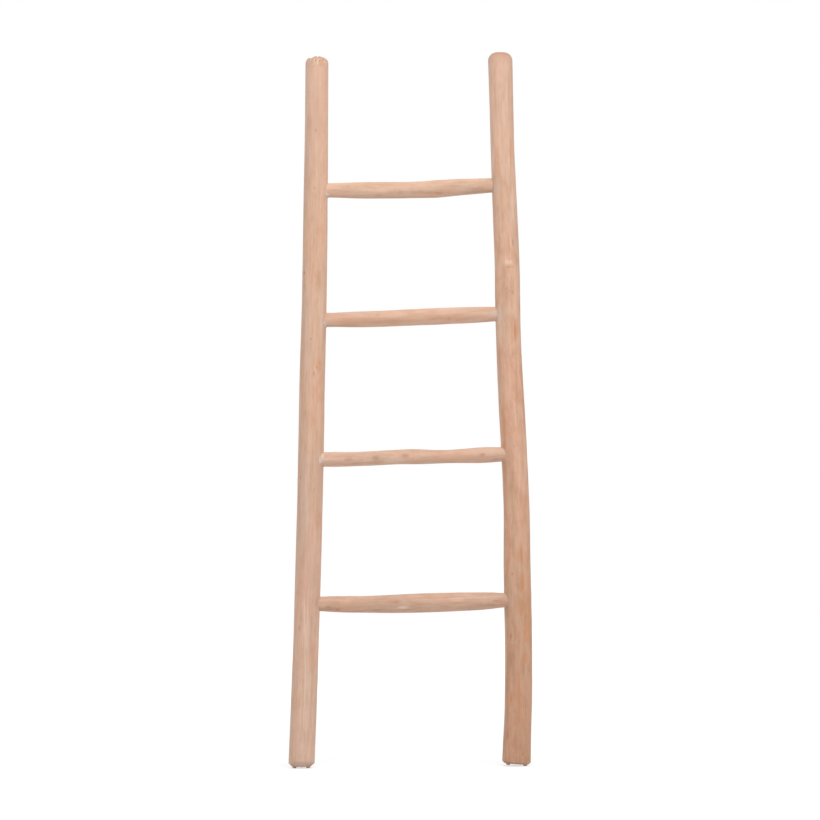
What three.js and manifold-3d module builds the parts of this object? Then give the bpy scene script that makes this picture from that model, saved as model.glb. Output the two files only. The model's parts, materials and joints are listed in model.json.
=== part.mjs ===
// A decorative ladder of two debarked branches and four whittled rungs, in millimetres, +Z up.
// It stands upright with its front towards -Y, and its origin is under its middle, on the floor.
// Each rung's round tenons sit in blind mortises, each held by one nail from the back of the rail.
import * as THREE from "three";
import { mergeVertices } from "three/addons/utils/BufferGeometryUtils.js";
import Module from "manifold-3d";

// The ladder as a whole.
const LADDER_HEIGHT = 1500; // floor to the top of the right rail
const LEFT_RAIL_SHORT = 5; // the left rail ends this much lower
const FOOT_SPREAD = 452; // between the rails' centres at the floor
const HEAD_SPREAD = 385; // between the rails' centres at the top
const HEAD_LEAN = 14.3; // how far the middle of the top lies to the right of the foot's

// The rails.
const RAIL_DIAMETER = 53; // nominal, halfway up
const RAIL_OVALITY = 0.015; // share of the radius by which a section is out of round
const RAIL_TWIST = 420; // height in which the oval turns by one radian
const LEFT_CROWN_ROUND = 15; // worked off the edge of the sawn top
const RIGHT_CROWN_ROUND = 18;
const LEFT_FOOT_BEVEL = 6; // worked off the edge of the sawn foot
const RIGHT_FOOT_BEVEL = 4.5;
const RIGHT_FOOT_TILT = 0.07; // rise towards the ladder's middle, in each millimetre across
const CHECK_DEPTH = 8; // drying cracks in the left rail's top
const CHECK_WIDTH = 2;
const CHIP_DEPTH = 3.5; // torn off the outer side of that top

// The joints between rungs and rails.
const TENON_DIAMETER = 30.5;
const TENON_CHAMFER = 2.5;
const FIT = 0.3; // clearance all round between pieces that touch
const GLUE_SPACE = 2; // between a tenon's end and the flat bottom of its mortise
const MORTISE_WALL = 15; // wood left between that bottom and the rail's outer side
const SHOULDER_GAP = 1; // a rung swells only from this far outside the rail
const RUNG_OVALITY = 0.03;
const PUTTY_WIDTH = 3.2; // filler smoothed round a rung where it enters
const PUTTY_HOLLOW = 0.35; // share of its width left at the middle of the hollow face
const PUTTY_LIFT = 0.5; // clearance from the rail's facets, which its ring bridges

// Wire nails.
const NAIL_LENGTH = 35;
const NAIL_DIAMETER = 2.8;
const NAIL_HEAD_DIAMETER = 6;
const NAIL_HEAD_THICKNESS = 1.2;
const NAIL_POINT = 4;
const NAIL_SINK = 0.6; // how deep the head is punched below the wood

// Plastic glides nailed under the rails.
const GLIDE_HEIGHT = 3.4;
const GLIDE_DIAMETER = 9;
const GLIDE_FLAT = 4; // across the flat on which it stands
const GLIDE_RIM = 0.8; // height of its upright edge
const GLIDE_PIN_DIAMETER = 2;
const GLIDE_PIN_LENGTH = 12;
const GLIDE_PIN_POINT = 3;
const GLIDE_INSET = 0.3; // between its edge and the bevel of the foot
const GLIDES_PER_RAIL = 3;

// Fineness of the facets.
const RAIL_SIDES = 24;
const RAIL_STEP = 38;
const RUNG_SIDES = 20;
const RUNG_STEP = 24;
const BEAD_STEPS = 24;
const ROUND_STEPS = 4;
const NAIL_SIDES = 10;
const GLIDE_SIDES = 12;

const wood = new THREE.MeshStandardMaterial({ color: 0xdbb297, roughness: 0.75, metalness: 0 });
const paleWood = new THREE.MeshStandardMaterial({ color: 0xe2ba9c, roughness: 0.75, metalness: 0 });
const steel = new THREE.MeshStandardMaterial({ color: 0x8c8a86, roughness: 0.4, metalness: 1 });
const plastic = new THREE.MeshStandardMaterial({ color: 0x7a6252, roughness: 0.6, metalness: 0 });
const putty = new THREE.MeshStandardMaterial({ color: 0xd8cfc8, roughness: 0.85, metalness: 0 });

// A smooth line through stations of [share of the length, value, value ...].
function smooth(stations) {
  const shares = stations.map((station) => station[0]);
  const values = stations.flatMap((station) => station.slice(1));
  const line = new THREE.CubicInterpolant(shares, values, stations[0].length - 1);
  return (share) => Array.from(line.evaluate(share));
}

// How each rail grew and was sawn. bow is how far its centre lies [to the right, to the back] of
// a straight line from foot to head, and girth is how much thicker it is there than the nominal
// diameter, both at shares of its length.
const rails = {
  left: {
    side: -1,
    top: LADDER_HEIGHT - LEFT_RAIL_SHORT,
    crown: LEFT_CROWN_ROUND,
    bevel: LEFT_FOOT_BEVEL,
    tilt: 0,
    phase: 0.4,
    bow: smooth([
      [0, 0, 0], [0.15, 3.6, -1], [0.45, 5.7, -4], [0.54, 4.9, -3], [0.65, 5.4, -2],
      [0.85, 2.9, 1], [1, 0, 0],
    ]),
    girth: smooth([
      [0, 2], [0.25, 1.1], [0.5, 0.9], [0.66, -0.6], [0.8, -1.9], [0.9, -4.1], [1, -4.9],
    ]),
  },
  right: {
    side: 1,
    top: LADDER_HEIGHT,
    crown: RIGHT_CROWN_ROUND,
    bevel: RIGHT_FOOT_BEVEL,
    tilt: RIGHT_FOOT_TILT,
    phase: 1.9,
    bow: smooth([
      [0, 0.3, 0], [0.04, 3, 0], [0.08, 6.6, 0], [0.13, 9.3, 1], [0.18, 10.6, 2], [0.23, 10.9, 2],
      [0.29, 11.1, 3], [0.36, 12.8, 4], [0.43, 10.8, 5], [0.56, 4.8, 4], [0.63, 3.6, 2],
      [0.7, 4.6, 1], [0.85, 0.7, 0], [1, 0, 0],
    ]),
    girth: smooth([
      [0, 7], [0.06, 4.9], [0.22, 4.4], [0.29, 3.4], [0.38, 1.5], [0.5, 1.7],
      [0.58, -0.6], [0.68, -0.1], [0.9, -2.9], [1, -1.4],
    ]),
  },
};

// The rungs, lowest first. height is where the tenon's centre meets each rail's, and forward how
// far towards the front it lies there, as a share of the rail's room beside the tenon. swell is
// how much thicker the rung is than its tenon, and sag how far it lies [below, behind] the line of
// its tenons, both at shares of the way between the rails.
const rungs = [
  {
    name: "rung_1", phase: 0.3,
    height: { left: 343.9, right: 348.4 }, forward: { left: -0.13, right: 0.3 },
    swell: [
      [0.03, 1.8], [0.15, 4.6], [0.21, 4.8], [0.27, 5.6], [0.34, 7.3], [0.54, 9.9], [0.8, 8.4],
      [0.93, 4.5], [0.98, 1.8],
    ],
    sag: [[0.23, 3, 1], [0.5, 2.7, 2], [0.8, 1.3, 1]],
    putty: ["right"],
  },
  {
    name: "rung_2", phase: 1.4,
    height: { left: 647.3, right: 655.4 }, forward: { left: 0.42, right: 0.41 },
    swell: [
      [0.08, 0.9], [0.16, -0.4], [0.26, 0.3], [0.36, 0], [0.44, 0.6], [0.5, 2], [0.56, 0.9],
      [0.65, -2.4], [0.73, -2.2], [0.8, 0.2], [0.9, 3],
    ],
    sag: [[0.16, 1.2, -1], [0.47, -0.7, 1], [0.65, 1.3, 2], [0.85, 0.6, 0]],
    putty: ["left", "right"],
  },
  {
    name: "rung_3", phase: 2.2,
    height: { left: 940.1, right: 950.6 }, forward: { left: 0.18, right: 0.04 },
    swell: [[0.05, 0.1], [0.15, 2.7], [0.44, 4.1], [0.78, 4.2], [0.9, 3], [0.96, 1.2]],
    sag: [[0.25, 1.2, 0], [0.5, 0.8, -2], [0.75, 0.5, -1]],
    putty: ["left", "right"],
  },
  {
    name: "rung_4", phase: 2.9,
    height: { left: 1212.8, right: 1221.1 }, forward: { left: 0.05, right: -0.48 },
    swell: [[0.06, 0.4], [0.17, 3.6], [0.46, 4.1], [0.55, 4.3], [0.66, 7.1], [0.8, 4.6], [0.9, 2.5]],
    sag: [[0.27, 2.4, 0], [0.5, 4.3, 1], [0.66, 3.7, 1], [0.8, 1.7, 1]],
    putty: ["left"],
  },
];

const wasm = await Module();
wasm.setup();

function solidOf(geometry) {
  const plain = geometry.clone();
  plain.deleteAttribute("normal");
  plain.deleteAttribute("uv");
  const merged = mergeVertices(plain, 1e-3);
  const mesh = new wasm.Mesh({
    numProp: 3,
    vertProperties: merged.attributes.position.array,
    triVerts: new Uint32Array(merged.index.array),
  });
  return new wasm.Manifold(mesh);
}

function geometryOf(solid) {
  const mesh = solid.getMesh();
  const geometry = new THREE.BufferGeometry();
  geometry.setAttribute("position", new THREE.BufferAttribute(mesh.vertProperties, 3));
  geometry.setIndex(new THREE.BufferAttribute(mesh.triVerts, 1));
  geometry.computeVertexNormals();
  return geometry;
}

// A round body along +Z from a profile of [radius, z] that runs upwards, closed at both ends.
function turned(profile, sides) {
  const points = profile.map(([radius, z]) => new THREE.Vector2(radius, z));
  return new THREE.LatheGeometry(points, sides).rotateX(Math.PI / 2);
}

// Moves a turned body's rings sideways by lineAt(z), and scales them about its axis by
// roundAt(angle, z).
function grown(geometry, lineAt, roundAt) {
  const position = geometry.attributes.position;
  for (let i = 0; i < position.count; i += 1) {
    const [x, y, z] = [position.getX(i), position.getY(i), position.getZ(i)];
    const [right, back] = lineAt(z);
    const scale = roundAt(Math.atan2(y, x), z);
    position.setXYZ(i, x * scale + right, y * scale + back, z);
  }
  return geometry;
}

// Even places from one end to the other, no further apart than step.
function spaced(from, to, step) {
  const count = Math.ceil((to - from) / step);
  return Array.from({ length: count + 1 }, (_, i) => from + ((to - from) * i) / count);
}

// Rails.
const FOOT_LEVEL = GLIDE_HEIGHT + FIT; // of the sawn foot above the floor

function railShare(rail, z) {
  return (z - FOOT_LEVEL) / (rail.top - FOOT_LEVEL);
}

function railCentre(rail, z) {
  const share = railShare(rail, z);
  const [right, back] = rail.bow(share);
  const spread = THREE.MathUtils.lerp(FOOT_SPREAD, HEAD_SPREAD, share);
  return [(rail.side * spread) / 2 + HEAD_LEAN * share + right, back];
}

function railRadius(rail, z) {
  return (RAIL_DIAMETER + rail.girth(railShare(rail, z))[0]) / 2;
}

function railRoundness(rail, angle, z) {
  return 1 + RAIL_OVALITY * Math.cos(2 * angle + rail.phase + z / RAIL_TWIST);
}

// Of the flat under the foot, inside its bevel.
function footRadius(rail) {
  return railRadius(rail, FOOT_LEVEL) - rail.bevel;
}

// The rails' glides stand in a ring, the first one at the back.
function glidePlaces(rail) {
  const [x, y] = railCentre(rail, FOOT_LEVEL);
  const ring = footRadius(rail) - GLIDE_DIAMETER / 2 - GLIDE_INSET;
  return Array.from({ length: GLIDES_PER_RAIL }, (_, i) => {
    const angle = Math.PI / 2 + (i * 2 * Math.PI) / GLIDES_PER_RAIL;
    return [x + ring * Math.cos(angle), y + ring * Math.sin(angle)];
  });
}

// How much higher than FOOT_LEVEL a tilted foot is at x. It is lowest under its outermost glide,
// whose flat then stands on the floor by its edge.
function footRise(rail, x) {
  const outermost = Math.max(...glidePlaces(rail).map(([place]) => place));
  return rail.tilt * (outermost - x + GLIDE_FLAT / 2);
}

// How far a point lies outside the rail's skin.
function outsideRail(rail, point) {
  const [x, y] = railCentre(rail, point.z);
  const angle = Math.atan2(point.y - y, point.x - x);
  const skin = railRadius(rail, point.z) * railRoundness(rail, angle, point.z);
  return Math.hypot(point.x - x, point.y - y) - skin;
}

// The whole pole, with a chamfered foot and a rounded crown.
function railPole(rail) {
  const shoulder = rail.top - rail.crown;
  const bevelTop = FOOT_LEVEL + rail.bevel;
  const crown = spaced(0, Math.PI / 2, Math.PI / 2 / ROUND_STEPS).slice(1);
  const profile = [
    [0, FOOT_LEVEL],
    [footRadius(rail), FOOT_LEVEL],
    ...spaced(bevelTop, shoulder, RAIL_STEP).map((z) => [railRadius(rail, z), z]),
    ...crown.map((turn) => [
      railRadius(rail, shoulder) - rail.crown * (1 - Math.cos(turn)),
      shoulder + rail.crown * Math.sin(turn),
    ]),
    [0, rail.top],
  ];
  const pole = grown(
    turned(profile, RAIL_SIDES),
    (z) => railCentre(rail, z),
    (angle, z) => railRoundness(rail, angle, z),
  );
  const position = pole.attributes.position;
  for (let i = 0; i < position.count; i += 1) {
    const z = position.getZ(i);
    if (z < bevelTop + 1) position.setZ(i, z + footRise(rail, position.getX(i)));
  }
  return pole;
}

// What drying and the saw took from a top: a chip off its outer side, and two cracks that are
// wide at the end grain and close downwards.
function crownWear(rail) {
  const [x, y] = railCentre(rail, rail.top);
  const crack = [[-CHECK_WIDTH / 2, 1], [0, -CHECK_DEPTH], [CHECK_WIDTH / 2, 1]];
  const chip = [
    [-RAIL_DIAMETER, 1],
    [-RAIL_DIAMETER, -CHIP_DEPTH],
    [-1, -CHIP_DEPTH],
    [0, -CHIP_DEPTH - 1],
    [9, 1],
  ];
  return [
    { outline: crack, right: 1.8, turn: 0.12 },
    { outline: crack, right: -16, turn: 0.9 },
    { outline: chip, right: -13, turn: -0.3 },
  ].map(({ outline, right, turn }) => {
    const shape = new THREE.Shape(outline.map(([across, up]) => new THREE.Vector2(across, up)));
    return new THREE.ExtrudeGeometry(shape, { depth: 2 * RAIL_DIAMETER, bevelEnabled: false })
      .translate(0, 0, -RAIL_DIAMETER)
      .rotateX(Math.PI / 2)
      .rotateZ(turn)
      .translate(x + right, y, rail.top);
  });
}

// Joints.
function socketOf(rung, side) {
  const rail = rails[side];
  const z = rung.height[side];
  const [x, y] = railCentre(rail, z);
  const radius = railRadius(rail, z);
  const forward = rung.forward[side] * (radius - TENON_DIAMETER / 2);
  return { rail, centre: new THREE.Vector3(x, y - forward, z), reach: radius * (1 + RAIL_OVALITY) };
}

// A rung's own frame: +X runs from its left socket's centre to its right one's.
function layOut(rung) {
  const left = socketOf(rung, "left");
  const right = socketOf(rung, "right");
  const along = right.centre.clone().sub(left.centre);
  const span = along.length();
  const turn = new THREE.Quaternion().setFromUnitVectors(new THREE.Vector3(1, 0, 0), along.normalize());
  const place = new THREE.Matrix4().compose(left.centre, turn, new THREE.Vector3(1, 1, 1));
  const mouths = [left.reach + SHOULDER_GAP, span - right.reach - SHOULDER_GAP];
  const swell = smooth([[0, 0], ...rung.swell, [1, 0]]);
  const sag = smooth([[0, 0, 0], ...rung.sag, [1, 0, 0]]);
  const shareOf = (x) => THREE.MathUtils.clamp((x - mouths[0]) / (mouths[1] - mouths[0]), 0, 1);
  return {
    ...rung, left, right, span, turn, place, mouths,
    bottoms: [MORTISE_WALL - left.reach, span + right.reach - MORTISE_WALL],
    radiusAt: (x) => (TENON_DIAMETER + swell(shareOf(x))[0]) / 2,
    lineAt: (x) => sag(shareOf(x)),
    roundAt: (angle, x) => {
      const share = shareOf(x);
      const oval = RUNG_OVALITY * 4 * share * (1 - share);
      return 1 + oval * Math.cos(2 * angle + rung.phase + 2 * share);
    },
  };
}

// From z along the pole to x along the rung, so that the pole's own x points down.
function lieDown(geometry) {
  return geometry.rotateY(Math.PI / 2);
}

// The whittled rung with its chamfered tenons.
function rungPole(rung) {
  const tenon = TENON_DIAMETER / 2;
  const [start, end] = [rung.bottoms[0] + GLUE_SPACE, rung.bottoms[1] - GLUE_SPACE];
  const profile = [
    [0, start],
    [tenon - TENON_CHAMFER, start],
    [tenon, start + TENON_CHAMFER],
    ...spaced(...rung.mouths, RUNG_STEP).map((x) => [rung.radiusAt(x), x]),
    [tenon, end - TENON_CHAMFER],
    [tenon - TENON_CHAMFER, end],
    [0, end],
  ];
  return lieDown(grown(turned(profile, RUNG_SIDES), rung.lineAt, rung.roundAt));
}

// What the drill takes out for a mortise: from clear of the rail to the flat bottom.
function mortise(rung, side) {
  const radius = TENON_DIAMETER / 2 + FIT;
  const [from, to] =
    side === "left"
      ? [rung.bottoms[0], rung.mouths[0] + radius]
      : [rung.mouths[1] - radius, rung.bottoms[1]];
  const profile = [[0, from], [radius, from], [radius, to], [0, to]];
  return lieDown(turned(profile, RUNG_SIDES)).applyMatrix4(rung.place);
}

// A wire nail with its head at z = 0 and its point down, or its hole where extra is more than 0.
function nailProfile(extra) {
  const shank = NAIL_DIAMETER / 2 + extra;
  const head = NAIL_HEAD_DIAMETER / 2 + extra;
  const mouth = extra > 0 ? RAIL_DIAMETER / 4 : 0;
  return [
    [0, -NAIL_LENGTH - 3 * extra],
    [shank, -NAIL_LENGTH - extra + NAIL_POINT],
    [shank, -NAIL_HEAD_THICKNESS - extra],
    [head, -NAIL_HEAD_THICKNESS / 2 - extra],
    [head, mouth],
    [0, mouth],
  ];
}

// Puts a nail, or its hole, in the back of the rail at a socket's height.
function driven(socket, geometry) {
  const [x, y] = railCentre(socket.rail, socket.centre.z);
  const back = y + railRadius(socket.rail, socket.centre.z) * (1 - RAIL_OVALITY);
  return geometry.rotateX(-Math.PI / 2).translate(x, back - NAIL_SINK, socket.centre.z);
}

// A place at x along the rung and out from its skin, at an angle round it.
function besideRung(rung, angle, x, out) {
  const [down, back] = rung.lineAt(x);
  const radius = rung.radiusAt(x) * rung.roundAt(angle, x) + out;
  const place = new THREE.Vector3(x, back + radius * Math.sin(angle), -down - radius * Math.cos(angle));
  return place.applyMatrix4(rung.place);
}

// How far along the rung a line at that angle and distance out comes to the rail's skin.
function meeting(rung, side, angle, out) {
  let [inside, outside] = side === "left" ? [0, rung.mouths[0]] : [rung.span, rung.mouths[1]];
  while (Math.abs(outside - inside) > 0.001) {
    const middle = (inside + outside) / 2;
    const clear = outsideRail(rung[side].rail, besideRung(rung, angle, middle, out)) > PUTTY_LIFT;
    if (clear) outside = middle;
    else inside = middle;
  }
  return outside;
}

// Filler smoothed into the corner between a rung and its rail: a ring of hollow-faced sections.
function puttyBead(rung, side) {
  const away = side === "left" ? 1 : -1;
  const hollow = PUTTY_WIDTH * PUTTY_HOLLOW;
  const section = [[0, 0], [PUTTY_WIDTH, 0], [hollow, hollow], [0, PUTTY_WIDTH]];
  const vertices = [];
  const faces = [];
  for (let i = 0; i < BEAD_STEPS; i += 1) {
    const angle = (i / BEAD_STEPS) * 2 * Math.PI;
    for (let j = 0; j < section.length; j += 1) {
      const out = FIT + section[j][0];
      const x = meeting(rung, side, angle, out) + away * section[j][1];
      vertices.push(...besideRung(rung, angle, x, out));
      const next = (j + 1) % section.length;
      const [a, b] = [i * section.length + j, i * section.length + next];
      const [c, d] = [a, b].map((k) => (k + section.length) % (BEAD_STEPS * section.length));
      faces.push(...(side === "left" ? [a, c, b, b, c, d] : [a, b, c, b, d, c]));
    }
  }
  const geometry = new THREE.BufferGeometry();
  geometry.setAttribute("position", new THREE.Float32BufferAttribute(vertices, 3));
  geometry.setIndex(faces);
  geometry.computeVertexNormals();
  return geometry;
}

// A glide, or the hole for its pin where extra is more than 0. It stands on z = 0.
function glideProfile(extra) {
  const [dome, pin] = [GLIDE_DIAMETER / 2, GLIDE_PIN_DIAMETER / 2 + extra];
  const tip = GLIDE_HEIGHT + GLIDE_PIN_LENGTH + extra;
  const shank = [[pin, tip - GLIDE_PIN_POINT], [0, tip + 2 * extra]];
  if (extra > 0) return [[0, 0], [pin, 0], ...shank];
  const bulge = spaced(0, Math.PI / 2, Math.PI / 2 / ROUND_STEPS).map((turn) => [
    GLIDE_FLAT / 2 + (dome - GLIDE_FLAT / 2) * Math.sin(turn),
    (GLIDE_HEIGHT - GLIDE_RIM) * (1 - Math.cos(turn)),
  ]);
  return [[0, 0], ...bulge, [dome, GLIDE_HEIGHT], [pin, GLIDE_HEIGHT], ...shank];
}

// Hangs a glide, or its pin's hole, under the foot, square to it and clear of it by FIT.
function hung(rail, [x, y]) {
  const tilt = Math.atan(rail.tilt);
  const foot = new THREE.Vector3(x, y, FOOT_LEVEL + footRise(rail, x));
  const down = new THREE.Vector3(Math.sin(tilt), 0, Math.cos(tilt)).multiplyScalar(FOOT_LEVEL);
  return new THREE.Matrix4().makeRotationY(tilt).setPosition(foot.sub(down));
}

const ladder = new THREE.Group();

function add(name, geometry, material) {
  const mesh = new THREE.Mesh(geometry, material);
  mesh.name = name;
  ladder.add(mesh);
  return mesh;
}

const laid = rungs.map(layOut);

for (const [side, rail] of Object.entries(rails)) {
  let pole = solidOf(railPole(rail));
  for (const rung of laid) {
    pole = pole.subtract(solidOf(mortise(rung, side)));
    pole = pole.subtract(solidOf(driven(rung[side], turned(nailProfile(FIT), NAIL_SIDES))));
  }
  for (const place of glidePlaces(rail)) {
    const hole = turned(glideProfile(FIT), NAIL_SIDES).applyMatrix4(hung(rail, place));
    pole = pole.subtract(solidOf(hole));
  }
  if (side === "left") {
    for (const wear of crownWear(rail)) pole = pole.subtract(solidOf(wear));
  }
  add(`rail_${side}`, geometryOf(pole), wood);
}

for (const rung of laid) {
  let pole = solidOf(rungPole(rung));
  const toRung = rung.place.clone().invert();
  for (const side of ["left", "right"]) {
    const hole = driven(rung[side], turned(nailProfile(FIT), NAIL_SIDES)).applyMatrix4(toRung);
    pole = pole.subtract(solidOf(hole));
    add(`nail_${rung.name}_${side}`, driven(rung[side], turned(nailProfile(0), NAIL_SIDES)), steel);
  }
  const mesh = add(rung.name, geometryOf(pole), paleWood);
  mesh.position.copy(rung.left.centre);
  mesh.quaternion.copy(rung.turn);
  for (const side of rung.putty) add(`putty_${rung.name}_${side}`, puttyBead(rung, side), putty);
}

for (const [side, rail] of Object.entries(rails)) {
  glidePlaces(rail).forEach((place, i) => {
    const mesh = add(`foot_glide_${side}_${i + 1}`, turned(glideProfile(0), GLIDE_SIDES), plastic);
    mesh.applyMatrix4(hung(rail, place));
  });
}

// The origin goes under the middle of the whole ladder.
const extent = new THREE.Box3().setFromObject(ladder);
ladder.position.set(-(extent.min.x + extent.max.x) / 2, -(extent.min.y + extent.max.y) / 2, 0);

const part = new THREE.Group();
part.add(ladder);
export default part;
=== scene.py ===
# A decorative ladder of two debarked branches and four whittled rungs, in metres, +Z up. Its front
# looks along -Y. Sizes named here are in millimetres where they are multiplied by MM.
import json
import math
import bpy
import numpy as np
from mathutils import Matrix, Vector, noise
from mathutils.bvhtree import BVHTree

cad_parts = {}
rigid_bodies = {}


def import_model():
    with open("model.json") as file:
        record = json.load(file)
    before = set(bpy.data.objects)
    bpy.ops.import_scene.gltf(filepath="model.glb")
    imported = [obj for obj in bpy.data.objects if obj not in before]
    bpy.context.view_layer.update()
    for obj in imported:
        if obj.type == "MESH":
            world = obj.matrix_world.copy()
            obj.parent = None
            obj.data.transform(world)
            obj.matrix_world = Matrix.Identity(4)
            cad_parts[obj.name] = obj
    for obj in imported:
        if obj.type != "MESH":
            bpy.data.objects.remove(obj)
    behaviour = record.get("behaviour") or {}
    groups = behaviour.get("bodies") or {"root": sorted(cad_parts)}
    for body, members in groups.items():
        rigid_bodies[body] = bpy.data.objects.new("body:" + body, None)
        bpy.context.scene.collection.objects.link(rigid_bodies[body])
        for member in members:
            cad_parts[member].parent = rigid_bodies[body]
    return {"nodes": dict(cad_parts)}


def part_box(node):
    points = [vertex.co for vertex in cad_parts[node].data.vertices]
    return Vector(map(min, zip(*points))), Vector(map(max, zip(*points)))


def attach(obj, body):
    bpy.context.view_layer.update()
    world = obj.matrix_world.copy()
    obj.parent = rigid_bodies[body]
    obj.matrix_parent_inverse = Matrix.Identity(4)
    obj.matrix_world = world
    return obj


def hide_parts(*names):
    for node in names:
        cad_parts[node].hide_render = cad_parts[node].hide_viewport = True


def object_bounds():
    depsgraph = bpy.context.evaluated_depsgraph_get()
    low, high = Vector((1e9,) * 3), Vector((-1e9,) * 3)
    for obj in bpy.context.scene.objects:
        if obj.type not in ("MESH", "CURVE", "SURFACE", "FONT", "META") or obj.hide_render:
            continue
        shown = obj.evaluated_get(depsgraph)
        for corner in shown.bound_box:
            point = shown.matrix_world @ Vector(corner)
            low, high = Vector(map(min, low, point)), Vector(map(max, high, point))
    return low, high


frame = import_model()
cad_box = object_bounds()

# Rails: their shape
# Two crooked branches, stripped of bark and sanded, that bow a little and thin out upwards. Each is
# a stack of rings round its pith, with the flats, ripples and knots that the rasp left on it.
MM = 0.001
RAIL_SIDES = 112
RAIL_STEP = 2.5 * MM
FACE_STEP = 2.5 * MM  # between the rings of a sawn face
BEVEL_STEP = 1.2 * MM
CROWN_STEP = 1.5 * MM
TEAR_FADES = 12 * MM  # how far it takes the torn end grain to reach its full depth
CREASE_ANGLE = 0.7
GRAIN_STRETCH = (1.0, 1.0, 0.12)  # what the rasp left is drawn out along the branch
FLATS_WANDER = 2.2  # scales of noise, per metre
FLATS_FADE = 60.0
PITS = 330.0
FLATS_DRIFT = 4.0  # radians
PIT_DRAWS_IN = -30.0  # how much a pit narrows the branch, for each metre of its depth
WELD = 0.02 * MM
TENON_ROOM = 48  # mm at both ends of a pole that unseen knots keep clear of
STREWN = ((100, 260), (2.5, 6), (-0.3, 0.5), (0.15, 0.45))  # their degrees, size, rise, how dark
FOOT_LEVEL = 3.7 * MM
LEFT_FOOT_BEVEL = 6 * MM
LEFT_FOOT_CUT_DEPTH = 7 * MM
LEFT_FOOT_CUT = 6 * MM  # how high the drawknife's cut reaches at its sides
LEFT_FOOT_CUT_RISE = 4.5 * MM  # how much higher at its front
RIGHT_FOOT_BEVEL = 3.7 * MM
LEFT_CROWN = 15 * MM
RIGHT_CROWN = 18 * MM
FOOT_SLANT = 0.07  # of the right foot, which rises towards the ladder's middle
SLANT_FADES = 30 * MM
TORN_END = 16 * MM
RAIL_RIPPLE = 22 * MM


def feed(node, feeds):
    """Fills a node's inputs, in order or by name, with values, sockets or whole nodes. All nodes
    are in the tree that was begun last."""
    for place, value in feeds.items() if isinstance(feeds, dict) else enumerate(feeds):
        if isinstance(place, str):
            socket = next(s for s in node.inputs if s.enabled and s.name == place)
        else:
            socket = node.inputs[place]
        if isinstance(value, bpy.types.Node):
            value = next(s for s in value.outputs if s.enabled)
        if isinstance(value, bpy.types.NodeSocket):
            tree.links.new(value, socket)
        else:
            socket.default_value = value


def put(kind, feeds=(), **settings):
    """Adds a node."""
    node = tree.nodes.new(kind)
    for name, value in settings.items():
        setattr(node, name, value)
    feed(node, feeds)
    return node


def maths(operation, *feeds, **settings):
    """A sum with numbers, and vector one with vectors."""
    return put("ShaderNodeMath", feeds, operation=operation, **settings)


def vector(operation, *feeds):
    return put("ShaderNodeVectorMath", feeds, operation=operation)


def scaled(what, factor):
    return put("ShaderNodeVectorMath", {0: what, "Scale": factor}, operation="SCALE")


def axis_of(what, axis):
    return put("ShaderNodeSeparateXYZ", [what]).outputs[axis]


def ranged(value, low, high, least=0.0, most=1.0, **settings):
    """A value between low and high, turned into one between least and most."""
    return put("ShaderNodeMapRange", {
        "Value": value, "From Min": low, "From Max": high, "To Min": least, "To Max": most,
    }, **settings)


def soft(*values):
    """The same, eased at both ends."""
    return ranged(*values, interpolation_type="SMOOTHSTEP")


def noise_at(place, scale, detail, roughness=0.5):
    return put("ShaderNodeTexNoise", {
        "Vector": place, "Scale": scale, "Detail": detail, "Roughness": roughness})


def named(name, kind="FLOAT"):
    return put("GeometryNodeInputNamedAttribute", {"Name": name}, data_type=kind)


def sampled(points, value, index, kind="FLOAT"):
    """A value at the one of some points that has that index."""
    return put("GeometryNodeSampleIndex", {"Geometry": points, "Value": value, "Index": index},
               data_type=kind)


def geometry_of(thing):
    return put("GeometryNodeObjectInfo", {"Object": thing}).outputs["Geometry"]


def new_tree(name, entries):
    """Begins a Geometry Nodes tree with those inputs. Returns it with its input node's sockets."""
    global tree
    tree = bpy.data.node_groups.new(name, "GeometryNodeTree")
    for entry, kind in entries:
        tree.interface.new_socket(entry, in_out="INPUT", socket_type="NodeSocket" + kind)
    tree.interface.new_socket("Geometry", in_out="OUTPUT", socket_type="NodeSocketGeometry")
    return tree, put("NodeGroupInput").outputs


def finish_tree(geometry, material):
    """Ends the tree with plain geometry of that material."""
    plain = put("GeometryNodeRealizeInstances", [geometry])
    painted = put("GeometryNodeSetMaterial", {"Geometry": plain, "Material": material})
    put("NodeGroupOutput", [painted])


branch, given = new_tree("branch", (
    ("Pith", "Geometry"), ("Knots", "Object"), ("Mortises", "Object"), ("Nail Holes", "Object"),
    ("Cracks", "Object"), ("Torn Off", "Object"), ("Sides", "Int"), ("Flats", "Int"),
    ("Flatness", "Float"), ("Ripple", "Float"), ("Ripple Length", "Float"),
    ("Torn From", "Float"), ("Torn Depth", "Float"), ("Foot Level", "Float"),
    ("Foot Radius", "Float"), ("Cut Depth", "Float"), ("Cut Height", "Float"),
    ("Cut Rise", "Float"), ("Slant", "Float"), ("Slant Edge", "Float"),
    ("Slant From", "Float"), ("Slant Length", "Float"), ("Lowest", "Vector"),
    ("Highest", "Vector"), ("Seed", "Float"), ("Wood", "Material"),
))
ring_count = put("GeometryNodeAttributeDomainSize", [given["Pith"]], component="MESH")
sheet = put("GeometryNodeMeshGrid", {
    "Size X": 1.0, "Size Y": 1.0, "Vertices X": ring_count,
    "Vertices Y": maths("ADD", given["Sides"], 1.0),
})
flat_place = put("ShaderNodeSeparateXYZ", [put("GeometryNodeInputPosition")]).outputs
last_ring = maths("SUBTRACT", ring_count, 1.0)
ring_share = maths("ADD", flat_place["X"], 0.5)
ring = maths("MULTIPLY_ADD", ring_share, last_ring, 0.5)
turn = maths("MULTIPLY_ADD", flat_place["Y"], -2 * math.pi, math.pi)
pith_place = put("GeometryNodeInputPosition")
middle = sampled(given["Pith"], pith_place, ring, "FLOAT_VECTOR")
reach = sampled(given["Pith"], named("reach"), ring)
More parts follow.
